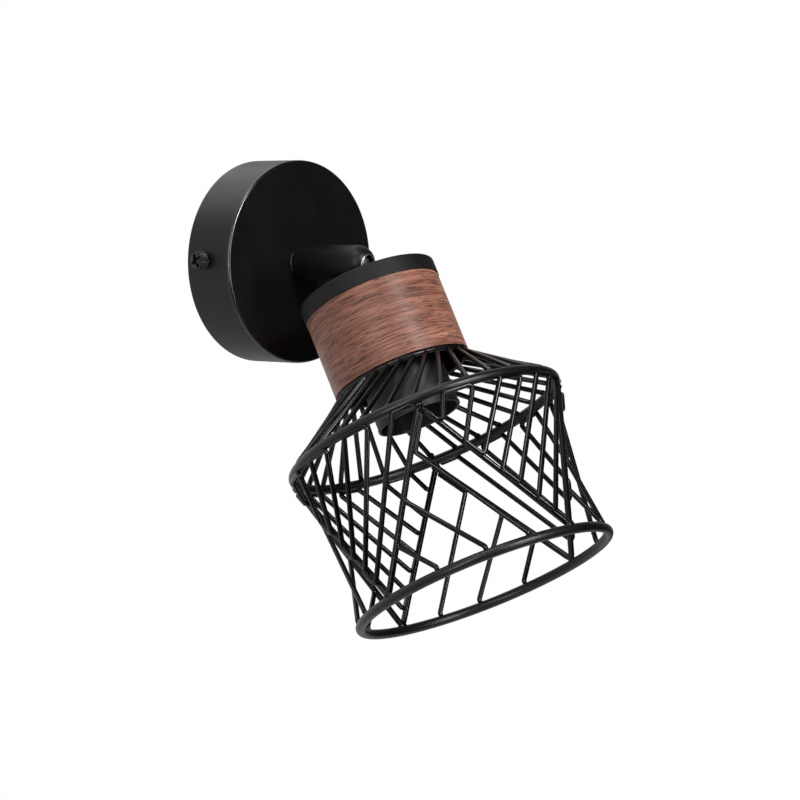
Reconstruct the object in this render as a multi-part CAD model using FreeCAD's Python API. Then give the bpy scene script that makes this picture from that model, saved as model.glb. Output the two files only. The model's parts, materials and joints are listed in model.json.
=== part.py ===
import FreeCAD, Part
import math
import os

# All lengths are in millimetres. The wall is the plane y = 0 and the lamp stands off it towards -Y.
# Two local frames are used. The wall frame has x to the right, y up and z out from the wall.
# The head frame has its origin at the tilt pivot, z along the head towards the lamp's mouth,
# y towards the head's front and x to the right.

# Canopy, a drawn steel cup that covers the bracket
canopy_radius = 50.0
canopy_depth = 28.8
canopy_wall = 1.2
canopy_edge_radius = 1.8
side_screw_level = 10.7
side_screw_rise = 2.0

# Bracket that is screwed to the wall
bracket_thickness = 2.0
bracket_width = 26.0
bracket_end_gap = 1.6
bracket_end_height = 17.0
tab_width = 26.0
tab_reach = 16.0
slot_spacing = 60.0
slot_width = 4.6
slot_length = 12.0
earth_screw_offset = 17.0

# Screws: the shared thread and each head
small_thread_radius = 2.0
thread_clearance = 0.05
side_head_radius = 4.7
side_head_length = 4.9
knurl_depth = 0.35
knurl_teeth = 24
side_hole_clearance = 0.3
side_screw_overrun = 2.0
recess_width = 1.0
recess_length = 4.4
recess_depth = 1.6
pan_head_radius = 3.6
pan_head_height = 2.4
earth_washer_radius = 4.6
washer_thickness = 0.8

# Terminal block with its brass sleeves
block_width = 24.0
block_depth = 11.0
block_height = 10.0
pole_pitch = 8.0
sleeve_radius = 2.2
sleeve_bore = 1.5
terminal_screw_radius = 1.3
terminal_screw_head = 1.8
terminal_screw_setback = 2.6
block_screw_offset = 4.0

# Leads
core_radius = 0.9
core_spread = 1.35
core_bend_radius = 2.6
core_turn_level = 7.0
cable_radius = 2.9
cable_start = 12.0

# Arm with its threaded tube and its swivel
arm_radius = 8.6
arm_edge = 0.6
arm_bore_radius = 6.6
pivot_reach = 66.5
nipple_radius = 5.0
nipple_bore = 3.7
swivel_clearance = 0.08
running_gap = 0.05
swivel_washer_radius = 7.6
swivel_washer_thickness = 0.6
lock_nut_flats = 14.0
lock_nut_height = 3.0
stop_plate_thickness = 1.2
stop_plate_radius = 8.2
stop_tab_reach = 13.4
stop_tab_width = 4.0
stop_rivet_radius = 1.5
stop_rivet_orbit = 11.4
plug_length = 11.0

# Friction joint inside the arm's domed end
ball_radius = 6.0
ball_gap = 0.3
seat_radius = 6.3
seat_bore = 3.0
seat_height = 4.2
seat_setback = 4.7
disc_spring_count = 4
disc_spring_thickness = 0.5
disc_spring_rise = 0.5
disc_spring_bore = 3.3
spacer_bore = 4.6
neck_radius = 4.0
neck_bore = 2.8
mouth_radius = 5.5
mouth_tip_radius = 2.0
mouth_tip_depth = 1.0
slot_gap = 0.3
slot_steps = 6
tilt_rest = 62.0
tilt_up_stop = 5.0
tilt_down_stop = 85.0

# Head: cap, collar and wooden sleeve
flange_gap = 1.0
flange_radius = 6.4
flange_thickness = 2.9
cap_radius = 34.4
cap_wall = 1.2
cap_height = 8.3
cap_edge_radius = 1.0
veneer_thickness = 1.2
veneer_length = 39.7
collar_wall = 1.0
head_nut_flats = 14.0
head_nut_height = 3.0
lock_washer_radius = 8.0
lock_washer_thickness = 1.2

# Lampholder
holder_hub_radius = 8.5
holder_hub_height = 6.0
holder_shoulder_rise = 7.0
holder_cap_radius = 19.4
holder_cap_height = 24.0
holder_wall = 1.8
skirt_radius = 20.2
skirt_length = 41.6
lip_radius = 20.8
lip_height = 2.2
insert_floor = 8.0
insert_tube_wall = 1.7
shell_bore_radius = 13.3
shell_wall = 0.4
shell_length = 22.0
shell_base_gap = 3.0
contact_radius = 4.0
contact_thickness = 0.8
contact_bump_radius = 2.2
contact_bump_height = 1.2
holder_screw_orbit = 9.5
holder_screw_radius = 1.6
holder_screw_head = 2.8
holder_screw_head_height = 1.6
holder_screw_slot = 0.7
core_fan_level = 25.0

# Wire cage
top_ring_radius = 32.2
top_ring_wire = 1.3
middle_ring_radius = 66.7
middle_ring_wire = 2.4
middle_ring_drop = 29.9
bottom_ring_radius = 62.4
bottom_ring_wire = 2.4
cage_height = 78.0
leg_wire = 1.5
panel_wire = 1.25
weld_depth = 0.6
apex_weld_depth = 1.8
apex_bead_radius = 1.9
panel_count = 4
panel_top_shares = [0.12, 0.26, 0.4, 0.525, 0.64, 0.765, 0.885]
panel_foot_shares = [0.16, 0.31, 0.43, 0.55, 0.665, 0.785, 0.895]
lower_top_shares = [0.24, 0.5, 0.735]
lower_foot_shares = [0.24, 0.455, 0.7]
upper_wires = 32
upper_twist = 25.0
cage_turn = -48.4

overrun = 5.0


def vec(x, y, z):
    return FreeCAD.Vector(x, y, z)


X_AXIS = vec(1, 0, 0)
Y_AXIS = vec(0, 1, 0)
Z_AXIS = vec(0, 0, 1)


def disc(radius, height, level=0.0, x=0.0, y=0.0):
    """Upright cylinder that starts at a level."""
    return Part.makeCylinder(radius, height, vec(x, y, level), Z_AXIS)


def tube(outer, inner, height, level=0.0, x=0.0, y=0.0):
    """Upright round tube that starts at a level."""
    bore = disc(inner, height + 2 * overrun, level - overrun, x, y)
    return disc(outer, height, level, x, y).cut(bore)


def slab(x_size, y_size, z_size, x=0.0, y=0.0, level=0.0):
    """Box centred on x and y that starts at a level."""
    return Part.makeBox(x_size, y_size, z_size, vec(x - x_size / 2, y - y_size / 2, level))


def cross_cylinder(radius, length, start, y=0.0, level=0.0):
    """Cylinder along +X."""
    return Part.makeCylinder(radius, length, vec(start, y, level), X_AXIS)


def rod(start, end, radius):
    """Straight wire between two points."""
    run = end - start
    return Part.makeCylinder(radius, run.Length, start, run)


def prism(corners, height, level=0.0):
    """Upright prism over a flat outline."""
    points = [vec(x, y, level) for x, y in corners]
    face = Part.Face(Part.makePolygon(points + points[:1]))
    return face.extrude(vec(0, 0, height))


def hexagon(flats):
    """Corners of a hexagon, from the distance across its flats."""
    corner = flats / 2 / math.cos(math.pi / 6)
    return [(corner * math.cos(math.pi * k / 3), corner * math.sin(math.pi * k / 3)) for k in range(6)]


def star(outer, inner, teeth):
    """Corners of a knurled edge, alternately at the crest and at the root."""
    corners = []
    for k in range(2 * teeth):
        radius = outer if k % 2 == 0 else inner
        angle = math.pi * k / teeth
        corners.append((radius * math.cos(angle), radius * math.sin(angle)))
    return corners


def turned(outline):
    """Solid of revolution about z, from (radius, level) points."""
    points = [vec(radius, 0, level) for radius, level in outline]
    face = Part.Face(Part.makePolygon(points + points[:1]))
    return face.revolve(vec(0, 0, 0), Z_AXIS, 360)


def bent_rod(start, corner, end, radius, bend_radius):
    """Wire with two straight runs that are joined by a tangent arc."""
    before = (corner - start).normalize()
    after = (end - corner).normalize()
    turn = before.getAngle(after)
    setback = bend_radius * math.tan(turn / 2)
    arc_start = corner - before * setback
    axis = before.cross(after).normalize()
    section = Part.Face(Part.Wire(Part.makeCircle(radius, arc_start, before)))
    bend = section.revolve(arc_start + axis.cross(before) * bend_radius, axis, math.degrees(turn))
    return bend.multiFuse([rod(start, arc_start, radius), rod(corner + after * setback, end, radius)])


def cross_recess(x_face, direction, y, level):
    """Cross-shaped driver recess in a face across x."""
    start = x_face if direction > 0 else x_face - recess_depth
    upright = Part.makeBox(recess_depth, recess_width, recess_length,
                           vec(start, y - recess_width / 2, level - recess_length / 2))
    level_bar = Part.makeBox(recess_depth, recess_length, recess_width,
                             vec(start, y - recess_length / 2, level - recess_width / 2))
    return upright.fuse(level_bar)


def top_recess(x, y, top):
    """Cross-shaped driver recess in a face across z."""
    bars = slab(recess_length, recess_width, recess_depth, x, y, top - recess_depth)
    return bars.fuse(slab(recess_width, recess_length, recess_depth, x, y, top - recess_depth))


def top_screw(x, y, shank_start, seat, radius, head_radius, head_height):
    """Pan-head screw that points at the wall, with its head on a seat."""
    shank = disc(radius, seat - shank_start, shank_start, x, y)
    head = disc(head_radius, head_height, seat, x, y)
    rim = [edge for edge in head.Edges if abs(edge.BoundBox.ZMin - seat - head_height) < thread_clearance]
    head = head.makeFillet(head_height / 2, rim)
    return shank.fuse(head).cut(top_recess(x, y, seat + head_height))


def edges_at(shape, level):
    """Edges that lie flat at a level."""
    tolerance = running_gap
    return [edge for edge in shape.Edges
            if abs(edge.BoundBox.ZMin - level) < tolerance and abs(edge.BoundBox.ZMax - level) < tolerance]


def on_wall(shape):
    """Moves a shape from the wall frame to the part's frame."""
    return shape.rotated(vec(0, 0, 0), X_AXIS, 90)


def on_head(shape):
    """Moves a shape from the head frame to the part's frame."""
    return shape.rotated(vec(0, 0, 0), X_AXIS, 90 + tilt_rest).translated(vec(0, -pivot_reach, 0))


# Levels and half sizes that several pieces share, in the wall frame
canopy_inner = canopy_radius - canopy_wall
canopy_ceiling = canopy_depth - canopy_wall
bracket_end = math.sqrt(canopy_inner ** 2 - (bracket_width / 2) ** 2) - bracket_end_gap
inner_washer_level = canopy_ceiling - swivel_washer_thickness
stop_plate_level = inner_washer_level - running_gap - stop_plate_thickness
lock_nut_level = stop_plate_level - lock_nut_height
arm_base = canopy_depth + swivel_washer_thickness + running_gap
block_offset = -bracket_width / 2 - tab_reach + block_depth / 2
block_top = bracket_thickness + block_height

# Levels that several pieces share, in the head frame
flange_level = arm_radius + flange_gap
cap_top = flange_level + flange_thickness
cap_bottom = cap_top + cap_height
collar_radius = cap_radius - veneer_thickness
collar_top = cap_top + cap_wall
collar_bottom = cap_bottom + veneer_length
head_nut_level = collar_top + lock_washer_thickness
holder_top = head_nut_level + head_nut_height
skirt_top = holder_top + holder_cap_height
mouth_level = skirt_top + skirt_length
insert_face = skirt_top + insert_floor
top_ring_level = collar_bottom + top_ring_wire - weld_depth / 2
middle_ring_level = collar_bottom + middle_ring_drop
bottom_ring_level = middle_ring_level + cage_height
leg_top_level = middle_ring_level + middle_ring_wire + leg_wire - weld_depth
leg_bottom_level = bottom_ring_level - bottom_ring_wire - leg_wire + apex_weld_depth


def canopy():
    cup = disc(canopy_radius, canopy_depth)
    cup = cup.makeFillet(canopy_edge_radius, edges_at(cup, canopy_depth))
    hollow = disc(canopy_inner, canopy_ceiling + overrun, -overrun)
    hollow = hollow.makeFillet(canopy_edge_radius / 2, edges_at(hollow, canopy_ceiling))
    hole = disc(nipple_radius + swivel_clearance, canopy_depth + overrun)
    side_holes = cross_cylinder(small_thread_radius + side_hole_clearance, 2 * (canopy_radius + overrun),
                                -canopy_radius - overrun, side_screw_rise, side_screw_level)
    rivet_hole = disc(stop_rivet_radius, canopy_depth + overrun, 0, 0, stop_rivet_orbit)
    blind = disc(stop_rivet_radius + overrun, overrun, canopy_ceiling + canopy_wall / 2, 0, stop_rivet_orbit)
    return cup.cut(hollow).cut(hole).cut(side_holes).cut(rivet_hole.cut(blind))


def stop_rivet():
    """Stud pressed into the canopy's inner face, which the tab plate meets at each end of the swivel."""
    top = canopy_ceiling + canopy_wall / 2
    bottom = stop_plate_level - running_gap
    return disc(stop_rivet_radius, top - bottom, bottom, 0, stop_rivet_orbit)


def wall_bracket():
    strip = slab(2 * bracket_end, bracket_width, bracket_thickness)
    tab_offset = -bracket_width / 2 - tab_reach / 2
    tab = slab(tab_width, tab_reach, bracket_thickness, 0, tab_offset)
    body = strip.fuse(tab)
    for side in (-1, 1):
        end_x = side * (bracket_end - bracket_thickness / 2)
        body = body.fuse(slab(bracket_thickness, bracket_width, bracket_end_height, end_x))
        slot_x = side * slot_spacing / 2
        straight = slot_length - slot_width
        slot = slab(straight, slot_width, bracket_thickness, slot_x)
        for end in (-1, 1):
            slot = slot.fuse(disc(slot_width / 2, bracket_thickness, 0, slot_x + end * straight / 2))
        body = body.cut(slot)
    threads = cross_cylinder(small_thread_radius, 2 * (bracket_end + overrun), -bracket_end - overrun,
                             side_screw_rise, side_screw_level)
    earth_hole = disc(small_thread_radius, bracket_thickness, 0, earth_screw_offset)
    block_hole = disc(terminal_screw_radius, bracket_thickness, 0, block_screw_offset, block_offset)
    return body.cut(threads).cut(earth_hole).cut(block_hole).removeSplitter()


def canopy_screws():
    """Two knurled screws with a cross recess that hold the canopy to the bracket's bent ends."""
    screws = []
    for side in (-1, 1):
        head = prism(star(side_head_radius, side_head_radius - knurl_depth, knurl_teeth), side_head_length)
        tip = bracket_end - bracket_thickness - side_screw_overrun
        shank = disc(small_thread_radius, canopy_radius - tip, tip - canopy_radius)
        screw = head.fuse(shank).rotated(vec(0, 0, 0), Y_AXIS, side * 90)
        screw = screw.translated(vec(side * canopy_radius, side_screw_rise, side_screw_level))
        face = side * (canopy_radius + side_head_length)
        screws.append(screw.cut(cross_recess(face, -side, side_screw_rise, side_screw_level)))
    return Part.Compound(screws)


def earth_washer():
    return tube(earth_washer_radius, small_thread_radius, washer_thickness, bracket_thickness,
                earth_screw_offset)


def earth_screw():
    seat = bracket_thickness + washer_thickness
    return top_screw(earth_screw_offset, 0, 0, seat, small_thread_radius, pan_head_radius, pan_head_height)


def pole_places():
    return [(k - 1) * pole_pitch for k in range(3)]


def terminal_block():
    body = slab(block_width, block_depth, block_height, 0, block_offset, bracket_thickness)
    middle = bracket_thickness + block_height / 2
    for x in pole_places():
        start = vec(x, block_offset - block_depth / 2, middle)
        body = body.cut(Part.makeCylinder(sleeve_radius, block_depth, start, Y_AXIS))
        for side in (-1, 1):
            y = block_offset + side * terminal_screw_setback
            body = body.cut(disc(terminal_screw_head, block_height, middle, x, y))
    return body.cut(disc(terminal_screw_radius, block_height, bracket_thickness, block_screw_offset, block_offset))


def terminal_sleeves():
    """Brass clamping tubes, one for each pole."""
    middle = bracket_thickness + block_height / 2
    start = block_offset - block_depth / 2
    sleeves = []
    for x in pole_places():
        outer = Part.makeCylinder(sleeve_radius, block_depth, vec(x, start, middle), Y_AXIS)
        bore = Part.makeCylinder(sleeve_bore, block_depth, vec(x, start, middle), Y_AXIS)
        sleeve = outer.cut(bore)
        for side in (-1, 1):
            y = block_offset + side * terminal_screw_setback
            sleeve = sleeve.cut(disc(terminal_screw_radius, block_height, middle, x, y))
        sleeves.append(sleeve)
    return Part.Compound(sleeves)


def terminal_screws():
    """Two grub screws for each pole, with a driver slot."""
    middle = bracket_thickness + block_height / 2
    screws = []
    for x in pole_places():
        for side in (-1, 1):
            y = block_offset + side * terminal_screw_setback
            top = block_top - washer_thickness
            screw = disc(terminal_screw_radius, top - middle - sleeve_bore / 2, middle + sleeve_bore / 2, x, y)
            slot = slab(2 * terminal_screw_radius, holder_screw_slot, washer_thickness, x, y,
                        top - washer_thickness)
            screws.append(screw.cut(slot))
    return Part.Compound(screws)


def block_screw():
    """Screw that holds the terminal block to the bracket's tab."""
    top = block_top - washer_thickness
    screw = disc(terminal_screw_radius, top, 0, block_screw_offset, block_offset)
    slot = slab(2 * terminal_screw_radius, holder_screw_slot, washer_thickness, block_screw_offset,
                block_offset, top - washer_thickness)
    return screw.cut(slot)


def canopy_lead(core, pole):
    """Insulated core from the cable's end to one pole of the terminal block."""
    angle = 2 * math.pi * core / 3 - math.pi / 2
    x = core_spread * math.cos(angle)
    y = core_spread * math.sin(angle)
    end = vec(pole, block_offset + block_depth / 2, core_turn_level)
    return bent_rod(vec(x, y, cable_start - running_gap), vec(x, y, core_turn_level), end,
                    core_radius, core_bend_radius)


def swivel_washer(level):
    return tube(swivel_washer_radius, nipple_radius + swivel_clearance, swivel_washer_thickness, level)


def stop_plate():
    """Plate keyed on the threaded tube, whose tab limits the swivel."""
    plate = disc(stop_plate_radius, stop_plate_thickness, stop_plate_level)
    tab = slab(stop_tab_width, stop_tab_reach, stop_plate_thickness, 0, -stop_tab_reach / 2, stop_plate_level)
    bore = disc(nipple_radius, stop_plate_thickness, stop_plate_level)
    return plate.fuse(tab).cut(bore).removeSplitter()


def lock_nut():
    nut = prism(hexagon(lock_nut_flats), lock_nut_height, lock_nut_level)
    return nut.cut(disc(nipple_radius, lock_nut_height, lock_nut_level))


def arm_nipple():
    """Hollow threaded tube that joins the arm to the canopy."""
    start = lock_nut_level - washer_thickness
    return tube(nipple_radius, nipple_bore, arm_base + plug_length - start, start)


def arm_plug():
    """Threaded bush in the arm's foot."""
    return tube(arm_bore_radius, nipple_radius, plug_length, arm_base)


def slot_sweep():
    """Space that the neck sweeps through as the head tilts, in the wall frame about the pivot."""
    half_width = neck_radius + slot_gap
    reach = arm_radius + overrun
    step = (tilt_down_stop - tilt_up_stop) / slot_steps
    tilts = [math.radians(tilt_up_stop + k * step) for k in range(slot_steps + 1)]
    directions = [vec(0, -math.sin(tilt), math.cos(tilt)) for tilt in tilts]
    pivot = vec(0, 0, pivot_reach)
    ends = [Part.makeCylinder(half_width, reach, pivot, directions[0]),
            Part.makeCylinder(half_width, reach, pivot, directions[-1])]
    side = vec(-half_width, 0, pivot_reach)
    fan = [side] + [side + direction * reach for direction in directions] + [side]
    wedge = Part.Face(Part.makePolygon(fan)).extrude(vec(2 * half_width, 0, 0))
    return wedge.multiFuse(ends)


def arm_tube():
    body = disc(arm_radius, pivot_reach - arm_base, arm_base)
    body = body.makeChamfer(arm_edge, edges_at(body, arm_base))
    body = body.fuse(Part.makeSphere(arm_radius, vec(0, 0, pivot_reach)))
    cavity = disc(arm_bore_radius, pivot_reach - seat_setback - arm_base + overrun, arm_base - overrun)
    chamber = disc(ball_radius + ball_gap, seat_setback, pivot_reach - seat_setback)
    chamber = chamber.fuse(Part.makeSphere(ball_radius + ball_gap, vec(0, 0, pivot_reach)))
    return body.cut(cavity).cut(chamber).cut(slot_sweep()).removeSplitter()


def joint_seat():
    """Ring with a spherical cup that the springs press towards the ball."""
    top = pivot_reach - seat_setback
    ring = tube(seat_radius, seat_bore, seat_height, top - seat_height)
    return ring.cut(Part.makeSphere(ball_radius + ball_gap, vec(0, 0, pivot_reach)))


def spring_stack_level():
    stack = disc_spring_count * (disc_spring_thickness + disc_spring_rise)
    return pivot_reach - seat_setback - seat_height - stack


def disc_springs():
    """Stack of coned spring washers, turned alternately."""
    pitch = disc_spring_thickness + disc_spring_rise
    springs = []
    for k in range(disc_spring_count):
        level = spring_stack_level() + k * pitch
        inner_low = disc_spring_rise if k % 2 == 0 else 0.0
        outer_low = disc_spring_rise - inner_low
        springs.append(turned([(disc_spring_bore, level + inner_low), (seat_radius, level + outer_low),
                               (seat_radius, level + outer_low + disc_spring_thickness),
                               (disc_spring_bore, level + inner_low + disc_spring_thickness)]))
    return Part.Compound(springs)


def spacer_tube():
    start = arm_base + plug_length
    return tube(seat_radius, spacer_bore, spring_stack_level() - start, start)


def arm_cable():
    """Sheathed cable along the arm's axis."""
    end = pivot_reach - seat_setback - seat_height
    return disc(cable_radius, end - cable_start, cable_start)


def knuckle():
    """Ball with a hollow neck, a flange and a threaded end. Its mouth for the leads widens towards the arm."""
    ball = Part.makeSphere(ball_radius)
    neck = disc(neck_radius, flange_level)
    flange = disc(flange_radius, flange_thickness, flange_level)
    thread = disc(nipple_radius, holder_top + holder_hub_height - cap_top, cap_top)
    body = ball.fuse(neck).fuse(flange).fuse(thread)
    bore_length = ball_radius + holder_top + holder_hub_height + 2 * overrun
    bore = disc(neck_bore, bore_length, -ball_radius - overrun)
    mouth = Part.makeCone(mouth_radius, mouth_tip_radius, ball_radius + mouth_tip_depth,
                          vec(0, 0, -ball_radius), Z_AXIS)
    mouth = mouth.rotated(vec(0, 0, 0), X_AXIS, -tilt_rest / 2)
    return body.cut(bore).cut(mouth).removeSplitter()


def head_cap():
    cup = disc(cap_radius, cap_height, cap_top)
    cup = cup.makeFillet(cap_edge_radius, edges_at(cup, cap_top))
    hollow = disc(collar_radius, cap_height, collar_top)
    return cup.cut(hollow).cut(disc(nipple_radius, cap_height, cap_top))


def collar_sleeve():
    return tube(collar_radius, collar_radius - collar_wall, collar_bottom - collar_top, collar_top)


def wood_veneer():
    return tube(cap_radius, collar_radius, veneer_length, cap_bottom)


def head_lock_washer():
    return tube(lock_washer_radius, nipple_radius, lock_washer_thickness, collar_top)


def head_nut():
    nut = prism(hexagon(head_nut_flats), head_nut_height, head_nut_level)
    return nut.cut(disc(nipple_radius, head_nut_height, head_nut_level))


def holder_cap():
    hub_end = holder_top + holder_hub_height
    shoulder = hub_end + holder_shoulder_rise
    inner = holder_cap_radius - holder_wall
    outline = [(nipple_radius, holder_top), (holder_hub_radius, holder_top),
               (holder_hub_radius, hub_end - holder_wall), (holder_cap_radius, shoulder),
               (holder_cap_radius, skirt_top), (inner, skirt_top), (inner, shoulder + holder_wall / 2),
               (holder_hub_radius, hub_end), (nipple_radius, hub_end)]
    return turned(outline)


def holder_skirt():
    body = tube(skirt_radius, skirt_radius - holder_wall, skirt_length, skirt_top)
    lip = disc(lip_radius, lip_height, mouth_level - lip_height)
    lip = lip.makeFillet(lip_height / 4, edges_at(lip, mouth_level) + edges_at(lip, mouth_level - lip_height))
    bore = disc(skirt_radius - holder_wall, skirt_length, skirt_top)
    return body.fuse(lip.cut(bore)).removeSplitter()


def holder_insert():
    """Insulating core that carries the contacts and the threaded shell."""
    floor = disc(skirt_radius - holder_wall, insert_floor, skirt_top)
    outer = shell_bore_radius + shell_wall
    wall = tube(outer + insert_tube_wall, outer, shell_base_gap + shell_length, insert_face)
    body = floor.fuse(wall)
    body = body.cut(disc(contact_bump_radius, insert_floor, skirt_top))
    for side in (-1, 1):
        body = body.cut(disc(holder_screw_radius, insert_floor, skirt_top, side * holder_screw_orbit))
    return body


def screw_shell():
    return tube(shell_bore_radius + shell_wall, shell_bore_radius, shell_length, insert_face + shell_base_gap)


def centre_contact():
    """Contact disc with its rivet through the insert's floor and a raised spot."""
    rivet = disc(contact_bump_radius, insert_floor, skirt_top)
    plate = disc(contact_radius, contact_thickness, insert_face)
    spot = disc(contact_bump_radius, contact_bump_height, insert_face + contact_thickness)
    spot = spot.makeFillet(contact_bump_height / 2,
                           edges_at(spot, insert_face + contact_thickness + contact_bump_height))
    return rivet.fuse(plate).fuse(spot)


def holder_screws():
    """Terminal screws on the back of the insert."""
    screws = []
    for side in (-1, 1):
        x = side * holder_screw_orbit
        head_level = skirt_top - holder_screw_head_height
        screw = disc(holder_screw_radius, insert_floor, skirt_top, x)
        screw = screw.fuse(disc(holder_screw_head, holder_screw_head_height, head_level, x))
        slot = slab(2 * holder_screw_head, holder_screw_slot, holder_screw_head_height / 2, x, 0, head_level)
        screws.append(screw.cut(slot))
    return Part.Compound(screws)


def head_leads():
    """Two insulated cores from the neck's bore to the terminal screws."""
    end_level = skirt_top - holder_screw_head_height - core_radius / 2
    leads = []
    for side in (-1, 1):
        start = vec(side * core_spread, 0, ball_radius)
        corner = vec(side * core_spread, 0, core_fan_level)
        end = vec(side * (holder_screw_orbit - holder_screw_radius), 0, end_level)
        leads.append(bent_rod(start, corner, end, core_radius, core_bend_radius))
    return Part.Compound(leads)


def cage_point(radius, level, turn):
    """Point of the cage, with its turn in degrees from the apex nearest the front, to the right."""
    angle = math.radians(cage_turn + turn)
    return vec(radius * math.sin(angle), radius * math.cos(angle), level)


def leg_top(turn):
    return cage_point(middle_ring_radius, leg_top_level, turn)


def leg_bottom(turn):
    return cage_point(bottom_ring_radius, leg_bottom_level, turn)


def leg_seat(top_turn, bottom_turn, share, far_end):
    """Where a wire that comes from its far end is welded to the side of a leg, at a share of its length."""
    top = leg_top(top_turn)
    run = leg_bottom(bottom_turn) - top
    point = top + run * share
    along = run / run.Length
    towards = far_end - point
    side = towards - along * towards.dot(along)
    return point + side.normalize() * (leg_wire - weld_depth / 2)


panel_angle = 360.0 / panel_count


def cage_ring(radius, wire, level):
    return Part.makeTorus(radius, wire, vec(0, 0, level), Z_AXIS)


def cage_legs():
    """One wire that runs to and fro between the middle and the bottom ring, with a weld bead at each turn."""
    points = []
    for k in range(panel_count):
        points.append(leg_top(k * panel_angle))
        points.append(leg_bottom((k + 0.5) * panel_angle))
    runs = [rod(points[k - 1], points[k], leg_wire) for k in range(len(points))]
    beads = [Part.makeSphere(apex_bead_radius, point) for point in points]
    return runs[0].multiFuse(runs[1:] + beads)


def cage_upper_wires():
    """Slanted straight wires between the top and the middle ring."""
    wires = []
    step = 360.0 / upper_wires
    for k in range(upper_wires):
        top = cage_point(top_ring_radius, top_ring_level + weld_depth / 2, k * step + upper_twist)
        foot = cage_point(middle_ring_radius, middle_ring_level - middle_ring_wire + weld_depth, k * step)
        wires.append(rod(top, foot, panel_wire))
    return Part.Compound(wires)


def cage_panel_wires():
    """Wires from the middle ring down to the leg on their left, parallel to the leg on their right."""
    wires = []
    level = middle_ring_level + middle_ring_wire - weld_depth
    for panel in range(panel_count):
        start = panel * panel_angle
        for top_share, foot_share in zip(panel_top_shares, panel_foot_shares):
            top = cage_point(middle_ring_radius, level, start + top_share * panel_angle)
            wires.append(rod(top, leg_seat(start, start + panel_angle / 2, foot_share, top), panel_wire))
    return Part.Compound(wires)


def cage_lower_wires():
    """Wires from the left leg down to the bottom ring."""
    wires = []
    level = bottom_ring_level - bottom_ring_wire + weld_depth
    for panel in range(panel_count):
        start = panel * panel_angle
        for top_share, foot_share in zip(lower_top_shares, lower_foot_shares):
            foot = cage_point(bottom_ring_radius, level, start + (0.5 - foot_share) * panel_angle)
            wires.append(rod(leg_seat(start, start - panel_angle / 2, top_share, foot), foot, panel_wire))
    return Part.Compound(wires)


poles = pole_places()
wall_pieces = {
    "canopy": canopy(),
    "wall_bracket": wall_bracket(),
    "canopy_screws": canopy_screws(),
    "earth_washer": earth_washer(),
    "earth_screw": earth_screw(),
    "terminal_block": terminal_block(),
    "terminal_sleeves": terminal_sleeves(),
    "terminal_screws": terminal_screws(),
    "block_screw": block_screw(),
    "earth_lead": canopy_lead(0, poles[1]),
    "neutral_lead": canopy_lead(1, poles[2]),
    "live_lead": canopy_lead(2, poles[0]),
    "stop_rivet": stop_rivet(),
    "outer_swivel_washer": swivel_washer(canopy_depth),
    "inner_swivel_washer": swivel_washer(inner_washer_level),
    "stop_plate": stop_plate(),
    "lock_nut": lock_nut(),
    "arm_nipple": arm_nipple(),
    "arm_plug": arm_plug(),
    "arm_tube": arm_tube(),
    "joint_seat": joint_seat(),
    "disc_springs": disc_springs(),
    "spacer_tube": spacer_tube(),
    "arm_cable": arm_cable(),
}
head_pieces = {
    "knuckle": knuckle(),
    "head_cap": head_cap(),
    "collar_sleeve": collar_sleeve(),
    "wood_veneer": wood_veneer(),
    "head_lock_washer": head_lock_washer(),
    "head_nut": head_nut(),
    "holder_cap": holder_cap(),
    "holder_skirt": holder_skirt(),
    "holder_insert": holder_insert(),
    "screw_shell": screw_shell(),
    "centre_contact": centre_contact(),
    "holder_screws": holder_screws(),
    "head_leads": head_leads(),
    "cage_top_ring": cage_ring(top_ring_radius, top_ring_wire, top_ring_level),
    "cage_middle_ring": cage_ring(middle_ring_radius, middle_ring_wire, middle_ring_level),
    "cage_bottom_ring": cage_ring(bottom_ring_radius, bottom_ring_wire, bottom_ring_level),
    "cage_upper_wires": cage_upper_wires(),
    "cage_legs": cage_legs(),
    "cage_panel_wires": cage_panel_wires(),
    "cage_lower_wires": cage_lower_wires(),
}

pieces = {name: on_wall(shape) for name, shape in wall_pieces.items()}
pieces.update({name: on_head(shape) for name, shape in head_pieces.items()})

os.makedirs("parts", exist_ok=True)
for name, shape in pieces.items():
    shape.exportStep("parts/" + name + ".step")
    print(name, len(shape.Solids), round(shape.Volume, 2), shape.isValid())
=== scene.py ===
import json
import math

import bmesh
import bpy
import numpy as np
from mathutils import Matrix, Vector


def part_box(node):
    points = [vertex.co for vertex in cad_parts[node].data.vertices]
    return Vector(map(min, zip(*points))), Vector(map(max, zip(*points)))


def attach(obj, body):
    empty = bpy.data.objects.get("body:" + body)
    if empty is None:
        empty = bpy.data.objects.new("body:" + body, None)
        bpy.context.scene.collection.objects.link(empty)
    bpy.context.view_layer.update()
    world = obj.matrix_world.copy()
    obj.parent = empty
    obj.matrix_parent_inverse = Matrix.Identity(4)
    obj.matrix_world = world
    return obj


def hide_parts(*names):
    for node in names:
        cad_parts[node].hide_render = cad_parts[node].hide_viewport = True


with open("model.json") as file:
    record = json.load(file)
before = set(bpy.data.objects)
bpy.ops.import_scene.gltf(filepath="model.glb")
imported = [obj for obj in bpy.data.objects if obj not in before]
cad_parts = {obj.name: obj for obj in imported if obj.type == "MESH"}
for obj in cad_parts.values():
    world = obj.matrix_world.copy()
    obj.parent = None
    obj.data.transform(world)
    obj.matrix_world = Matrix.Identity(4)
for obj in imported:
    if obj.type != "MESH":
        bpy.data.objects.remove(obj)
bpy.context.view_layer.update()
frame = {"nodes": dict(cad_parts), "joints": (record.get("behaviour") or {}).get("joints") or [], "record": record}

# Lengths are in metres, in the frame of the CAD model: the wall is the plane y = 0, +Z is up.
# The head has its own directions: along its axis towards the mouth, to its right, which is the
# wall's right too, and to its front.
joint_places = {joint["name"]: joint["pos_m"] for joint in frame["joints"]}
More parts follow.
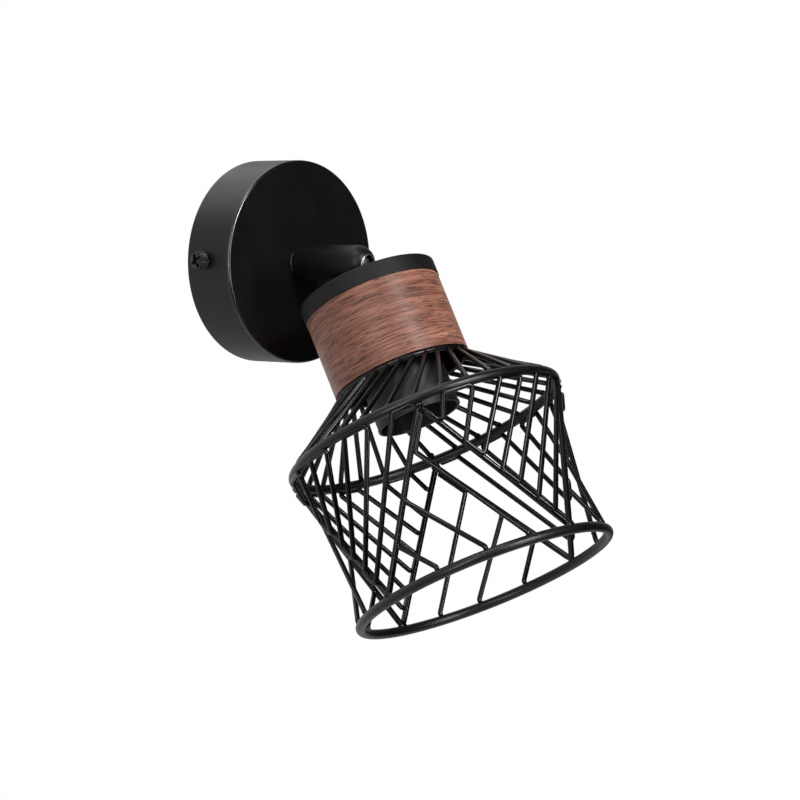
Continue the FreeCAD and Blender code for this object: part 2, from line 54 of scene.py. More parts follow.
pivot = np.array(joint_places["head_tilt"])
tilt_rest = math.radians(62.0)
head_axis = np.array([0.0, -math.cos(tilt_rest), -math.sin(tilt_rest)])
head_front = np.array([0.0, -math.sin(tilt_rest), math.cos(tilt_rest)])
head_right = np.array([1.0, 0.0, 0.0])
wall_axis = np.array([0.0, -1.0, 0.0])
wall_up = np.array([0.0, 0.0, 1.0])

# Meshes
merge_distance = 1e-7
sharp_angle = math.radians(40.0)
guard_share = 0.2
head_sides = 160

# Canopy, and the polish of its front edge
canopy_wall = 0.0012
canopy_edge = 0.0013
canopy_rim = 0.0004
canopy_sides = 512
canopy_steps = 12
polish_width = 1.3 * canopy_edge
polish_roughness = 0.24
polish_specular = 0.9

# Side screws
screw_level = 0.0107
screw_rise = 0.002
screw_radius = 0.0047
shank_radius = 0.002
shank_length = 0.007
knurl_teeth = 20
knurl_depth = 0.0006
knurl_rows = 3
knurl_steps = 8
face_shares = np.concatenate([np.linspace(0, 0.92, 42), [0.97, 1.0]])
screw_dome = 0.0007
recess_half_width = 0.00095
recess_half_length = 0.0033
recess_depth = 0.0016
recess_slope = 0.0004
recess_turn = math.radians(25.0)

# Slot in the arm's dome, with its stops in degrees
slot_half_width = 0.0043
slot_up_stop = 5.0
slot_down_stop = 85.0
lip_wire = 0.0004
lip_sink = 0.0002
lip_sides = 12
lip_end_points = 24
lip_side_points = 40

# Head, down to the bead at the lampholder's mouth
cap_edge = 0.0009
cap_rim = 0.0003
veneer_edge = 0.00015
veneer_inset = 0.0004
holder_wall = 0.0011
mouth_edge = holder_wall / 3
mouth_height = 0.0014
mouth_rise = 0.0003
mouth_fillet = mouth_rise / 2

# Cage, with turns in degrees, and with shares of a panel's turn or of a leg's length
cage_turn = -48.4
panels = range(4)
panel_turn = 360.0 / len(panels)
upper_wires = 32
upper_twist = 25.0
panel_top_shares = np.array([0.12, 0.26, 0.4, 0.525, 0.64, 0.765, 0.885])
panel_foot_shares = np.array([0.16, 0.31, 0.43, 0.55, 0.665, 0.785, 0.895])
lower_top_shares = np.array([0.24, 0.5, 0.735])
lower_foot_shares = np.array([0.24, 0.455, 0.7])
tail_share = 0.035
panel_start_share = 0.04
panel_end_share = 0.975
wire_bend = 0.0017
link_angle = math.radians(60.0)
bend_room_share = 0.45
knee_height = 0.0014
touch_depth = 0.0008
seat_depth = 0.0011
ring_wire = 0.0024
top_ring_wire = 0.0013
ring_wires = {"cage_top_ring": top_ring_wire, "cage_middle_ring": ring_wire,
              "cage_bottom_ring": ring_wire}
leg_wire = 0.0015
panel_wire = 0.00125
weld_depth = 0.0006
apex_weld_depth = 0.0018
apex_bend = 0.0018
bead_sizes = (0.0019, 0.0016, 0.0014)
joint_bead_sizes = (0.0019, 0.0017, 0.0014)
apex_bead_sizes = (0.0024, 0.0018, 0.0018)
bead_scales = (0.85, 1.15)
bead_swell = 0.12

# Coats, plastics and metals: the drift of their tone and roughness, and their grain
coat_black = (0.0022, 0.0022, 0.0023)
coat_drift_scale = 60.0
coat_drift_light = 1.5
coat_drift_span = (0.3, 0.75)
coat_drift = (-0.04, 0.06)
coat_depth = 0.00012
plastic_grain = 900.0
plastic_drift = (-0.05, 0.05)
plastic_relief = 0.08
metal_dark = 0.8
metal_span = (0.3, 0.7)
metal_drift = (-0.06, 0.1)
metal_relief = 0.1
fine_depth = 0.0001
stripe_scale = (450, 0, 0)
stripe_stops = [(0.45, (0.06, 0.3, 0.05)), (0.55, (0.75, 0.62, 0.03))]

# Veneer: the noise of each layer of the grain, as its scale along and across the grain, its detail
# and its roughness, and the tones or shades by its value
wood_tone = (0.25, 0.11, 0.07)
wood_specular = 0.3
wood_roughness = (0.52, 0.28)
wood_relief = 0.45
wood_depth = 0.00022
sway = (18, 40, 2.0, 0.5)
sway_depth = (0, 0, 0.0035)
bands = (11, 150, 3.0, 0.6)
band_tones = [(0.28, (0.190, 0.074, 0.049)), (0.45, (0.270, 0.110, 0.073)),
              (0.58, (0.330, 0.140, 0.095)), (0.75, (0.420, 0.195, 0.135))]
streaks = (60, 1700, 3.0, 0.6)
streak_shades = [(0.36, 0.36), (0.43, 0.7), (0.47, 1.0), (0.6, 1.12), (0.72, 1.4)]
pores = (170, 2300, 1.0, 0.5)
pore_shades = [(0.34, 0.3), (0.39, 0.95), (0.7, 1.1)]
flecks = (45, 420, 3.0, 0.6)
fleck_shades = [(0.35, 0.75), (0.72, 1.25)]

# Camera, with its angles in degrees and its focal length in pixels of the photo
photo_size = 800
photo_focus = 2796.4
sensor_width = 36.0
camera_azimuth = -47.696
camera_elevation = 4.577
camera_roll = -0.755
camera_distance = 1.3983
camera_right = 0.06984
camera_down = 0.06941

# Floor and room
floor_tone = 0.8
floor_roughness = 0.9
floor_specular = 0.2
floor_drop = 0.45
floor_radius = 1.6
floor_sides = 96
floor_fade = (0.3, 0.7)
bright_side = (-0.25, 0.96, 0.1)
bright_span = (-0.3, 0.75)
room_dark = 0.01
room_bright = 0.8
room_diffuse_share = 0.75

# Lamps, with their power in watts
lamp_aim = (0, -0.1, 0)
lamps = {
    "front_softbox": {"place": (-0.18, -1.4, 0.74), "size": (0.35, 0.45), "power": 18},
    "front_strip": {"place": (-0.05, -1.45, -0.05), "size": (0.14, 1.1), "power": 7.5,
                    "diffuse": False},
    "top_softbox": {"place": (-0.5, -0.2, 1.4), "size": (0.5, 0.4), "power": 6,
                    "aim": (0, -0.1, -0.05)},
    "back_softbox": {"place": (0.05, 0.85, 1.0), "size": (1.3, 0.7), "power": 3.5,
                     "diffuse": False},
    "left_strip": {"place": (-1.45, -0.85, 0.25), "size": (0.2, 1.4), "power": 12,
                   "diffuse": False},
    "right_fill": {"place": (1.2, -1.0, 0.5), "size": (0.8, 0.8), "power": 9, "glossy": False},
}


def head_place(level, right, front):
    """Points of the head: the pivot plus the level along its axis, and the offsets to its right
    and front."""
    level, right, front = (np.asarray(part, float)[..., None] for part in (level, right, front))
    return pivot + level * head_axis + right * head_right + front * head_front


def wall_place(level, right, up):
    """Points measured from the wall: the level out from it, and the offsets to the right and up."""
    level, right, up = (np.asarray(part, float)[..., None] for part in (level, right, up))
    return level * wall_axis + right * head_right + up * wall_up


def round_extent(node, origin, axis):
    """Lowest and highest level along an axis, and least and greatest distance from it, of a CAD
    node."""
    mesh = frame["nodes"][node].data
    points = np.empty(len(mesh.vertices) * 3)
    mesh.vertices.foreach_get("co", points)
    points = points.reshape(-1, 3) - origin
    level = points @ axis
    distance = np.linalg.norm(points - level[:, None] * axis, axis=1)
    return level.min(), level.max(), distance.min(), distance.max()


def grid_faces(rows, columns, close_rows, start):
    """Quads between neighbours of a grid of points, which are numbered from a start. The last
    column is joined to the first, and on request the last row too."""
    row = np.arange(rows if close_rows else rows - 1)
    row, column = np.meshgrid(row, np.arange(columns), indexing="ij")
    next_row, next_column = (row + 1) % rows, (column + 1) % columns
    quads = [row * columns + column, row * columns + next_column,
             next_row * columns + next_column, next_row * columns + column]
    return np.stack(quads, axis=-1).reshape(-1, 4) + start


def surface(name, body, grids, close_rows=False):
    """Piece made of one or more grids of points, each (rows, columns, 3). Points in one place are
    merged, and the faces are shaded smooth up to the sharp angle."""
    grids = np.asarray(grids, float)
    if grids.ndim == 3:
        grids = grids[None]
    count, rows, columns = grids.shape[:3]
    faces = np.concatenate([grid_faces(rows, columns, close_rows, k * rows * columns)
                            for k in range(count)])
    mesh = bpy.data.meshes.new(name)
    mesh.from_pydata(grids.reshape(-1, 3), [], faces.tolist())
    shell = bmesh.new()
    shell.from_mesh(mesh)
    bmesh.ops.remove_doubles(shell, verts=shell.verts, dist=merge_distance)
    bmesh.ops.recalc_face_normals(shell, faces=shell.faces)
    shell.to_mesh(mesh)
    shell.free()
    mesh.polygons.foreach_set("use_smooth", np.ones(len(mesh.polygons), bool))
    mesh.set_sharp_from_angle(angle=sharp_angle)
    piece = bpy.data.objects.new(name, mesh)
    bpy.context.scene.collection.objects.link(piece)
    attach(piece, body)
    return piece


def unit(vectors):
    """Vectors of length one in the same directions."""
    return vectors / np.linalg.norm(vectors, axis=-1, keepdims=True)


def corner_arcs(corners, before, after, bend, steps=6):
    """Arcs in place of corners. An arc point is the arc's centre plus the offsets of its two ends,
    each times the sine of the angle left to the other end, over the sine of the whole sweep."""
    half = np.arccos(np.clip((before * after).sum(-1), -1, 1)) / 2
    centre = corners + unit(before + after) * (bend / np.sin(half))[..., None]
    setback = (bend / np.tan(half))[..., None]
    start = (corners + before * setback - centre)[..., None, :]
    end = (corners + after * setback - centre)[..., None, :]
    sweep = (math.pi - 2 * half)[..., None, None]
    share = np.linspace(0, 1, steps + 1)[:, None]
    offset = (np.sin((1 - share) * sweep) * start + np.sin(share * sweep) * end) / np.sin(sweep)
    return centre[..., None, :] + offset


def shell_outline(corners, steps):
    """Closed outline of a shell, from the middle of its last side. Its corners, (distance, level,
    radius), are replaced by arcs of that radius. A point just past each end of an arc keeps the
    shading of the straight runs flat."""
    corners = np.asarray(corners, float)
    places, radii = corners[:, :2], corners[:, 2]
    back = unit(np.roll(places, 1, axis=0) - places)
    ahead = unit(np.roll(places, -1, axis=0) - places)
    points = [(places[0] + places[-1]) / 2]
    for place, radius, before, after in zip(places, radii, back, ahead):
        if radius == 0:
            points.append(place)
            continue
        arc = corner_arcs(place, before, after, radius, steps)
        guard = guard_share * radius
        points += [arc[0] + before * guard, *arc, arc[-1] + after * guard]
    return np.array(points)


def turned(name, body, corners, place, sides=128, steps=6):
    """Turned shell: each outline point is carried round the axis of a place function."""
    distance, level = shell_outline(corners, steps).T[..., None]
    angle = np.linspace(0, 2 * math.pi, sides, endpoint=False)
    grid = place(level + 0 * angle, distance * np.sin(angle), distance * np.cos(angle))
    return surface(name, body, grid, close_rows=True)


def bent_lines(corners, bend):
    """Lines, as (line, row, xyz), whose inner corners are arcs and whose ends stay. An arc takes no
    more than a share of the shorter run beside it."""
    inner = corners[:, 1:-1]
    before, after = corners[:, :-2] - inner, corners[:, 2:] - inner
    shorter = np.minimum(np.linalg.norm(before, axis=-1), np.linalg.norm(after, axis=-1))
    before, after = unit(before), unit(after)
    half = np.arccos(np.clip((before * after).sum(-1), -1, 1)) / 2
    bend = np.minimum(bend, bend_room_share * shorter * np.tan(half))
    arcs = corner_arcs(inner, before, after, bend).reshape(len(corners), -1, 3)
    return np.concatenate([corners[:, :1], arcs, corners[:, -1:]], axis=1)


def tube_grids(lines, radii, along, out, sides):
    """Circle points at each row of each line: the row's radius times the cosine and the sine of the
    side's angle along two directions square to the line, one of them as near as can be to the
    outward direction."""
    angle = np.linspace(0, 2 * math.pi, sides, endpoint=False)[:, None]
    side = unit(np.cross(along, out))[:, :, None]
    over = np.cross(side, along[:, :, None])
    circle = np.cos(angle) * side + np.sin(angle) * over
    return lines[:, :, None] + radii[:, None, None] * circle


def wires(name, body, lines, radius, sides=14, end_rows=5):
    """Wires along open lines, whose radius follows a quarter circle at both ends."""
    quarter = np.linspace(0, math.pi / 2, end_rows)
    depth, rounding = (1 - np.cos(quarter))[:, None] * radius, np.sin(quarter)
    starts = lines[:, :1] + depth * unit(lines[:, 1] - lines[:, 0])[:, None]
    ends = lines[:, -1:] - depth[::-1] * unit(lines[:, -1] - lines[:, -2])[:, None]
    rows = np.concatenate([starts, lines[:, 1:-1], ends], axis=1)
    radii = radius * np.concatenate([rounding, np.ones(lines.shape[1] - 2), rounding[::-1]])
    along = unit(np.gradient(rows, axis=1))
    return surface(name, body, tube_grids(rows, radii, along, outward(rows), sides))


def closed_wire(name, body, line, out, radius, sides=20):
    """Wire along a closed line."""
    along = unit(np.roll(line, -1, axis=0) - np.roll(line, 1, axis=0))
    grids = tube_grids(line[None], np.full(len(line), radius), along[None], out[None], sides)
    return surface(name, body, grids, close_rows=True)


def cage_point(radius, level, turn):
    """Point of the cage, with its turn in degrees from the apex nearest the front, to the right."""
    angle = np.radians(cage_turn + np.asarray(turn, float))
    return head_place(level + 0 * angle, radius * np.sin(angle), radius * np.cos(angle))


def outward(points):
    """Direction square to the head's axis, from the axis through the points."""
    offset = points - pivot
    return unit(offset - (offset @ head_axis)[..., None] * head_axis)


def blobs(name, body, centres, along, out, sizes, seed, rows=9, sides=14):
    """Weld beads: ellipsoids with half sizes along the joint, across it and outwards, whose radius
    swells and sinks by a low wave that differs from bead to bead."""
    random = np.random.default_rng(seed)
    polar = np.linspace(0, math.pi, rows)[:, None]
    round_angle = np.linspace(0, 2 * math.pi, sides, endpoint=False)[None, :]
    phase = random.uniform(0, 2 * math.pi, (len(centres), 1, 1))
    scale = random.uniform(*bead_scales, (len(centres), 1, 1))
    swell = scale * (1 + bead_swell * np.sin(2 * round_angle + phase) * np.sin(polar))
    waves = (np.cos(polar), np.sin(polar) * np.cos(round_angle),
             np.sin(polar) * np.sin(round_angle))
    directions = (along, unit(np.cross(along, out)), out)
    grids = centres[:, None, None, :] + sum(
        (wave * size * swell)[..., None] * direction[:, None, None, :]
        for wave, size, direction in zip(waves, sizes, directions))
    return surface(name, body, grids)


def torus(name, body, radius, wire, level, around=192, sides=28):
    """Ring: a circle of the wire's radius carried round the head's axis."""
    angle = np.linspace(0, 2 * math.pi, around, endpoint=False)[:, None]
    side = np.linspace(0, 2 * math.pi, sides, endpoint=False)[None, :]
    distance = radius + wire * np.cos(side)
    height = level + wire * np.sin(side) + 0 * angle
    grid = head_place(height, distance * np.sin(angle), distance * np.cos(angle))
    return surface(name, body, grid, close_rows=True)


# Materials

def set_values(tree, node, values):
    """Sets a node's properties and inputs. An input takes a plain value or a link from a socket."""
    for key, value in values.items():
        if isinstance(key, str) and hasattr(node, key):
            setattr(node, key, value)
        elif isinstance(value, bpy.types.NodeSocket):
            tree.links.new(value, node.inputs[key])
        else:
            node.inputs[key].default_value = value


def add_node(tree, kind, values=None):
    """New node with its properties and inputs set."""
    node = tree.nodes.new("ShaderNode" + kind)
    set_values(tree, node, values or {})
    return node


def coordinates(tree, kind="Object"):
    """Coordinates of the place that is shaded."""
    return add_node(tree, "TexCoord").outputs[kind]


def scaled(tree, vector, scale):
    """Vector times a scale for each axis."""
    return add_node(tree, "Mapping", {"Vector": vector, "Scale": scale}).outputs["Vector"]


def noise(tree, vector, scale, detail, rough=0.5, result="Fac"):
    """Noise over a vector."""
    values = {"Vector": vector, "Scale": scale, "Detail": detail, "Roughness": rough}
    return add_node(tree, "TexNoise", values).outputs[result]


def maths(tree, operation, *terms):
    """Result of a maths node, whose terms are plain values or sockets."""
    values = {"operation": operation, **dict(enumerate(terms))}
    return add_node(tree, "Math", values).outputs["Value"]


def vector_maths(tree, operation, *terms, result="Vector"):
    """Result of a vector maths node, whose terms are plain values or sockets."""
    values = {"operation": operation, **dict(enumerate(terms))}
    return add_node(tree, "VectorMath", values).outputs[result]


def map_range(tree, value, target=(0.0, 1.0), source=(0.0, 1.0)):
    """Maps a value from a source span to a target span, which it doesn't leave. The ends of the
    spans are plain values or sockets."""
    values = {"Value": value, "From Min": source[0], "From Max": source[1],
              "To Min": target[0], "To Max": target[1]}
    return add_node(tree, "MapRange", values).outputs["Result"]


def grey(value):
    """Colour with three equal parts."""
    return (value, value, value)


def ramp(tree, value, stops):
    """Colour ramp over a value. Stops are (place, colour)."""
    stops = list(stops)
    node = add_node(tree, "ValToRGB", {"Fac": value})
    elements = node.color_ramp.elements
    while len(elements) < len(stops):
        elements.new(0.5)
    for element, (place, colour) in zip(elements, stops):
        element.position = place
        element.color = (*colour, 1)
    return node.outputs["Color"]


def bump(tree, shader, height, strength, distance):
    """Gives a shader the relief of a height."""
    values = {"Height": height, "Strength": strength, "Distance": distance}
    relief = add_node(tree, "Bump", values)
    set_values(tree, shader, {"Normal": relief.outputs["Normal"]})


def new_material(name, colour, roughness, metallic=0.0, specular=0.5):
    """Material whose uniform values stand on the shader's own sockets, with its tree and shader."""
    material = bpy.data.materials.new(name)
    material.use_nodes = True
    tree = material.node_tree
    shader = tree.nodes["Principled BSDF"]
    set_values(tree, shader, {"Base Color": (*colour, 1), "Roughness": roughness,
                              "Metallic": metallic, "Specular IOR Level": specular})
    return material, tree, shader


def powder_coat(name, colour, roughness, specular, grain, relief=0.12):
    """Black coat with a faint orange peel, and with a roughness and tone that drift slowly."""
    material, tree, shader = new_material(name, colour, roughness, specular=specular)
    place = coordinates(tree)
    slow = noise(tree, place, coat_drift_scale, detail=2.0)
    peel = noise(tree, place, grain, detail=3.0, rough=0.6)
    light = tuple(coat_drift_light * part for part in colour)
    set_values(tree, shader, {
        "Base Color": ramp(tree, slow, zip(coat_drift_span, (colour, light))),
        "Roughness": map_range(tree, slow, [roughness + part for part in coat_drift])})
    bump(tree, shader, peel, relief, coat_depth)
    return material


def polish_edge(material, radius, level):
    """Makes a coat smoother and shinier near the canopy's front edge: where a point's distance from
    the wall's axis and its height over the wall are both within the polish width of the edge's."""
    tree = material.node_tree
    shader = tree.nodes["Principled BSDF"]
    parts = add_node(tree, "SeparateXYZ", {"Vector": coordinates(tree)}).outputs
    flat = add_node(tree, "CombineXYZ", {"X": parts["X"], "Z": parts["Z"]}).outputs["Vector"]
    reach = vector_maths(tree, "LENGTH", flat, result="Value")
    half = polish_width / 2
    outer = map_range(tree, reach, source=(radius - polish_width, radius - half))
    front = map_range(tree, parts["Y"], source=(polish_width - level, half - level))
    edge = maths(tree, "MULTIPLY", outer, front)
    coat_roughness = shader.inputs["Roughness"].links[0].from_socket
    coat_specular = shader.inputs["Specular IOR Level"].default_value
    set_values(tree, shader, {
        "Roughness": map_range(tree, edge, (coat_roughness, polish_roughness)),
        "Specular IOR Level": map_range(tree, edge, (coat_specular, polish_specular))})


def walnut():
    """Veneer whose grain runs round the collar: broad bands, fine dark streaks, short pores and
    pale flecks."""
    material, tree, shader = new_material("walnut_veneer", wood_tone, roughness=0.5,
                                          specular=wood_specular)
    head_turn = (math.pi / 2 + tilt_rest, 0, 0)
    upright = add_node(tree, "Mapping", {"vector_type": "TEXTURE", "Vector": coordinates(tree),
                                         "Location": pivot, "Rotation": head_turn})
    upright = upright.outputs["Vector"]

    def layer(vector, along, across, detail, rough, result="Fac"):
        """Noise that is stretched along the grain."""
        place = scaled(tree, vector, (along, along, across))
        return noise(tree, place, 1.0, detail, rough, result)

    offset = vector_maths(tree, "MULTIPLY", layer(upright, *sway, "Color"), sway_depth)
    bent = vector_maths(tree, "ADD", upright, offset)
    streak, pore = layer(bent, *streaks), layer(bent, *pores)
    tone = ramp(tree, layer(bent, *bands), band_tones)
    for value, shades in ((streak, streak_shades), (pore, pore_shades),
                          (layer(bent, *flecks), fleck_shades)):
        shade = ramp(tree, value, [(place, grey(part)) for place, part in shades])
        tone = vector_maths(tree, "MULTIPLY", tone, shade)
    set_values(tree, shader, {"Base Color": tone,
                              "Roughness": map_range(tree, streak, wood_roughness)})
    bump(tree, shader, maths(tree, "ADD", streak, pore), wood_relief, wood_depth)
    return material


def plastic(name, colour, roughness):
    """Moulded plastic with a very fine grain."""
    material, tree, shader = new_material(name, colour, roughness)
    grain = noise(tree, coordinates(tree), plastic_grain, detail=2.0)
    mapped = map_range(tree, grain, [roughness + part for part in plastic_drift])
    set_values(tree, shader, {"Roughness": mapped})
    bump(tree, shader, grain, plastic_relief, fine_depth)
    return material


def metal(name, colour, roughness, scale):
    """Plated metal, whose tone and roughness change along fine drawn streaks."""
    material, tree, shader = new_material(name, colour, roughness, metallic=1.0)
    drawn = noise(tree, scaled(tree, coordinates(tree), scale), 1.0, detail=4.0, rough=0.6)
    darker = tuple(metal_dark * part for part in colour)
    set_values(tree, shader, {
        "Base Color": ramp(tree, drawn, zip(metal_span, (darker, colour))),
        "Roughness": map_range(tree, drawn, [roughness + part for part in metal_drift])})
    bump(tree, shader, drawn, metal_relief, fine_depth)
    return material


def striped_insulation():
    """Green insulation with a yellow stripe, for the earth lead."""
    material, tree, shader = new_material("earth_insulation", (0.08, 0.35, 0.06), roughness=0.35)
    place = scaled(tree, coordinates(tree), stripe_scale)
    stripe = add_node(tree, "TexWave", {"Vector": place, "Scale": 1.0}).outputs["Fac"]
    set_values(tree, shader, {"Base Color": ramp(tree, stripe, stripe_stops)})
    return material


canopy_coat = powder_coat("canopy_coat", coat_black, roughness=0.39, specular=0.3, grain=1400.0,
                          relief=0.008)
cap_coat = powder_coat("cap_coat", (0.0026, 0.0026, 0.0027), roughness=0.58, specular=0.28,
                       grain=1400.0)
wire_coat = powder_coat("wire_coat", coat_black, roughness=0.2, specular=0.32, grain=700.0,
                        relief=0.01)
ring_coat = powder_coat("ring_coat", (0.0024, 0.0024, 0.0025), roughness=0.36, specular=0.42,
                        grain=900.0, relief=0.04)
screw_black = powder_coat("screw_black", grey(0.0025), roughness=0.14, specular=0.4, grain=1300.0,
                          relief=0.9)
bare_edge = metal("bare_edge", grey(0.62), roughness=0.3, scale=(300, 300, 300))
dark_steel = metal("dark_steel", (0.5, 0.5, 0.51), roughness=0.34, scale=(300, 300, 300))
finishes = {
    "black_metal": powder_coat("black_coat", coat_black, roughness=0.42, specular=0.32,
                               grain=1400.0),
    "zinc_steel": metal("zinc_plate", (0.56, 0.57, 0.58), roughness=0.36, scale=(500, 60, 60)),
    "brass": metal("plain_brass", (0.66, 0.47, 0.19), roughness=0.32, scale=(400, 400, 60)),
    "nickel_shell": metal("nickel_plate", (0.62, 0.6, 0.56), roughness=0.24, scale=(60, 700, 700)),
    "walnut": walnut(),
    "black_plastic": plastic("holder_black", (0.0035, 0.0035, 0.0045), roughness=0.5),
    "insulator": plastic("insulator_black", grey(0.012), roughness=0.3),
    "white_nylon": plastic("white_nylon", (0.72, 0.71, 0.66), roughness=0.45),
    "earth_insulation": striped_insulation(),
    "live_insulation": plastic("brown_insulation", (0.14, 0.05, 0.02), roughness=0.35),
    "neutral_insulation": plastic("blue_insulation", (0.03, 0.12, 0.42), roughness=0.35),
    "lead_insulation": plastic("white_insulation", (0.6, 0.6, 0.57), roughness=0.4),
    "cable_sheath": plastic("black_sheath", grey(0.012), roughness=0.5),
}
node_finishes = {"knuckle": dark_steel}


def finish(piece, slot, material=None):
    """Gives a piece a material: the one given, or else the finish of its record slot."""
    piece.data.materials.clear()
    piece.data.materials.append(material or finishes[slot])


def dress_frame():
    """Puts the materials on the CAD nodes."""
    slots = {entry["node"]: entry["material_slot"] for entry in frame["record"]["subparts"]}
    for name, node in frame["nodes"].items():
        material = node_finishes.get(name, finishes[slots[name]])
        for place in node.material_slots:
            place.material = material
        if not node.material_slots:
            node.data.materials.append(material)


# Pieces

def make_canopy():
    """Cup with a turned edge: side, small edge radius, flat front, and the inner faces."""
    _, depth, hole, radius = round_extent("canopy", np.zeros(3), wall_axis)
    inner = radius - canopy_wall
    ceiling = depth - canopy_wall
    corners = [(radius, 0, canopy_rim), (radius, depth, canopy_edge), (hole, depth, 0),
               (hole, ceiling, 0), (inner, ceiling, canopy_edge / 2), (inner, 0, canopy_rim)]
    piece = turned("canopy_shell", "wall", corners, wall_place, canopy_sides, canopy_steps)
    polish_edge(canopy_coat, radius, depth)
    finish(piece, "black_metal", canopy_coat)
    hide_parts("canopy")


def side_screw(side):
    """Knurled screw. The head's side has diamonds: its radius sinks by the product of a wave over
    the angle and one over the level. Its face is a low dome that sinks into a cross wherever a
    point lies within the cross's arms. Behind the head the shank runs on to inside the canopy."""
    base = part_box("canopy")[1].x
    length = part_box("canopy_screws")[1].x - base
    angle = np.linspace(0, 2 * math.pi, knurl_teeth * knurl_steps, endpoint=False)
    face_distance = face_shares[:, None] * (screw_radius - knurl_depth) + 0 * angle
    x = face_distance * np.cos(angle + recess_turn)
    y = face_distance * np.sin(angle + recess_turn)
    outside = [np.maximum(np.abs(x) - half_x, np.abs(y) - half_y) for half_x, half_y in (
        (recess_half_length, recess_half_width), (recess_half_width, recess_half_length))]
    sink = recess_depth * np.clip(-np.minimum(*outside) / recess_slope, 0, 1)
    face = length - screw_dome * (face_distance / screw_radius) ** 2 - sink
    share = np.linspace(0, 1, knurl_rows * knurl_steps + 1)[:, None]
    wave = np.cos(knurl_teeth * angle) * np.cos(2 * math.pi * knurl_rows * share)
    side_distance = screw_radius - knurl_depth * (1 + wave) / 2
    side_level = (length - screw_dome - knurl_depth) * (1 - share) + 0 * angle
    shank = np.array([shank_radius, shank_radius, 0])[:, None] + 0 * angle
    shank_level = np.array([0, -shank_length, -shank_length])[:, None] + 0 * angle
    distance = np.concatenate([face_distance, side_distance, shank])
    level = np.concatenate([face, side_level, shank_level])
    centre = wall_place(screw_level, side * base, screw_rise)
    return centre + wall_place(-distance * np.cos(angle), side * level, distance * np.sin(angle))


def make_screws():
    """Two knurled screws at the canopy's sides."""
    screws = surface("side_screws", "wall", [side_screw(side) for side in (-1, 1)])
    finish(screws, "black_metal", screw_black)
    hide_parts("canopy_screws")


def make_slot_lip():
    """Rounded edge of the slot in the arm's dome. Its closed line lies on the dome: two side arcs
    at half the slot's width, and at each end half of the circle in which a cylinder about the end's
    direction cuts the dome."""
    radius = round_extent("arm_tube", np.zeros(3), wall_axis)[3] - lip_sink
    half = slot_half_width + lip_sink
    inner = math.sqrt(radius ** 2 - half ** 2)
    first, last = np.radians([slot_up_stop, slot_down_stop])
    turn = np.linspace(0, math.pi, lip_end_points)
    tilt = np.linspace(first, last, lip_side_points)[1:-1]

    def end_arc(end, way):
        """Half circle at an end of the slot."""
        right = half * np.cos(turn) * way
        up = half * np.sin(turn) * way
        return (right, inner * math.cos(end) + up * math.sin(end),
                up * math.cos(end) - inner * math.sin(end))

    def side_arc(right, tilts):
        """Arc along a side of the slot."""
        return right + 0 * tilts, inner * np.cos(tilts), -inner * np.sin(tilts)

    arcs = [end_arc(first, 1), side_arc(-half, tilt), end_arc(last, -1), side_arc(half, tilt[::-1])]
    right, level, up = np.concatenate(arcs, axis=1)
    up = np.where(level < 0, -np.sqrt(radius ** 2 - right ** 2), up)
    line = pivot + wall_place(level, right, up)
    lip = closed_wire("slot_lip", "arm", line, unit(line - pivot), lip_wire, lip_sides)
    finish(lip, "black_metal", bare_edge)


def make_cap():
    """Shallow cup over the collar's top."""
    top, bottom, hole, radius = round_extent("head_cap", pivot, head_axis)
    ceiling, _, _, inner = round_extent("collar_sleeve", pivot, head_axis)
    corners = [(hole, top, 0), (radius, top, cap_edge), (radius, bottom, cap_rim),
               (inner, bottom, 0), (inner, ceiling, 0), (hole, ceiling, 0)]
    piece = turned("cap_shell", "head", corners, head_place, head_sides)
    finish(piece, "black_metal", cap_coat)
    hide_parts("head_cap")


def make_veneer():
    """Wooden hoop with softened edges, set back a little from the cap's rim."""
    top, bottom, inner, outer = round_extent("wood_veneer", pivot, head_axis)
    outer -= veneer_inset
    corners = [(outer, top, veneer_edge), (outer, bottom, veneer_edge), (inner, bottom, 0),
               (inner, top, 0)]
    piece = turned("walnut_hoop", "head", corners, head_place, head_sides)
    finish(piece, "walnut")
    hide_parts("wood_veneer")


def make_skirt():
    """Skirt of the lampholder: a straight wall from the holder's cap down, with a rounded bead at
    the mouth."""
    joint = round_extent("holder_cap", pivot, head_axis)[1]
    _, mouth, _, lip = round_extent("holder_skirt", pivot, head_axis)
    outer = lip - mouth_rise
    inner = outer - holder_wall
    shoulder = mouth - mouth_height
    corners = [(outer, joint, 0), (outer, shoulder, 0), (lip, shoulder, mouth_fillet),
               (lip, mouth, mouth_edge), (inner, mouth, mouth_edge), (inner, joint, 0)]
    skirt = turned("lampholder_skirt", "head", corners, head_place)
    finish(skirt, "black_plastic")
    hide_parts("holder_skirt")


def make_rings():
    """Three rings of the cage."""
    for node, wire in ring_wires.items():
        low, high, _, outer = round_extent(node, pivot, head_axis)
        name = node.replace("cage_", "") + "_bar"
        piece = torus(name, "head", outer - wire, wire, (low + high) / 2)
        finish(piece, "black_metal", ring_coat)
        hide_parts(node)


def ring_place(node):
    """Radius and level of a ring's wire axis."""
    low, high, _, outer = round_extent(node, pivot, head_axis)
    return outer - (high - low) / 2, (low + high) / 2


middle_radius, middle_level = ring_place("cage_middle_ring")
bottom_radius, bottom_level = ring_place("cage_bottom_ring")
top_radius, top_level = ring_place("cage_top_ring")
leg_top_level = middle_level + ring_wire + leg_wire - weld_depth
leg_bottom_level = bottom_level - ring_wire - leg_wire + apex_weld_depth


def leg_points(top_turn, bottom_turn, shares):
    """Points of a leg's axis at shares of its length, and the leg's direction."""
    top = cage_point(middle_radius, leg_top_level, top_turn)
    run = cage_point(bottom_radius, leg_bottom_level, bottom_turn) - top
    return top + np.asarray(shares)[:, None] * run, unit(run)


